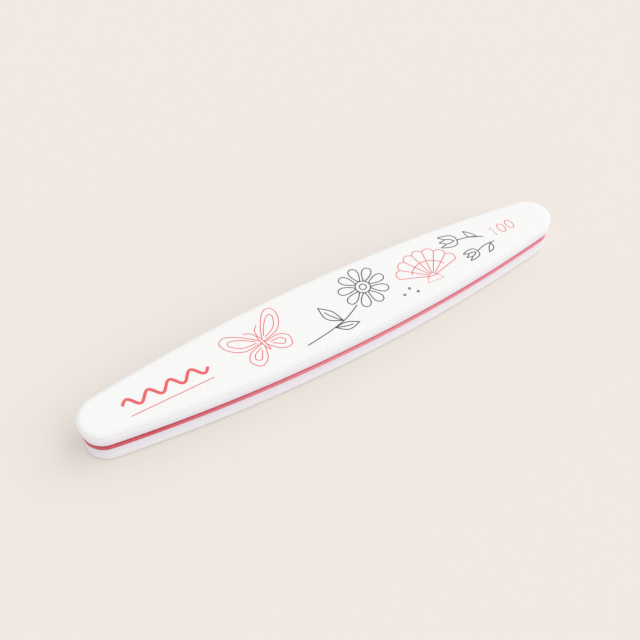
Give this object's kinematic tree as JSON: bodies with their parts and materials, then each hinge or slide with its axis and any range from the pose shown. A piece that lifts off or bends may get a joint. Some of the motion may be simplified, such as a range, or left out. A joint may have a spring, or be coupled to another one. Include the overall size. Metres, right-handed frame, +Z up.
{
  "type": "emery board",
  "caption": "Cushioned nail file: a long board, pointed oval in plan with round ends, with abrasive faces glued over foam pads on a stiff core strip.",
  "frame": {"origin": "centre of the flat bottom face, on the surface that the board lies on", "axes": "+X along the board, +Y across it, +Z up out of the coarse face"},
  "size_m": [0.178, 0.028, 0.013],
  "materials": {
    "coarse_grit": "rough white abrasive grain, about 100 grit, in a clear resin",
    "fine_grit": "rough white abrasive grain, about 180 grit, in a clear resin",
    "backing_paper": "matte latex-treated paper",
    "glue": "clear glue film",
    "foam": "matte fine-celled white foam, die-cut sides",
    "core": "satin pink-red polystyrene sheet, die-cut edge"
  },
  "bodies": {
    "root": {"top_grit": "coarse_grit", "top_backing_paper": "backing_paper", "top_paper_glue": "glue", "top_foam_pad": "foam", "top_core_glue": "glue", "core_strip": "core", "bottom_core_glue": "glue", "bottom_foam_pad": "foam", "bottom_paper_glue": "glue", "bottom_backing_paper": "backing_paper", "bottom_grit": "fine_grit"}
  },
  "joints": []
}
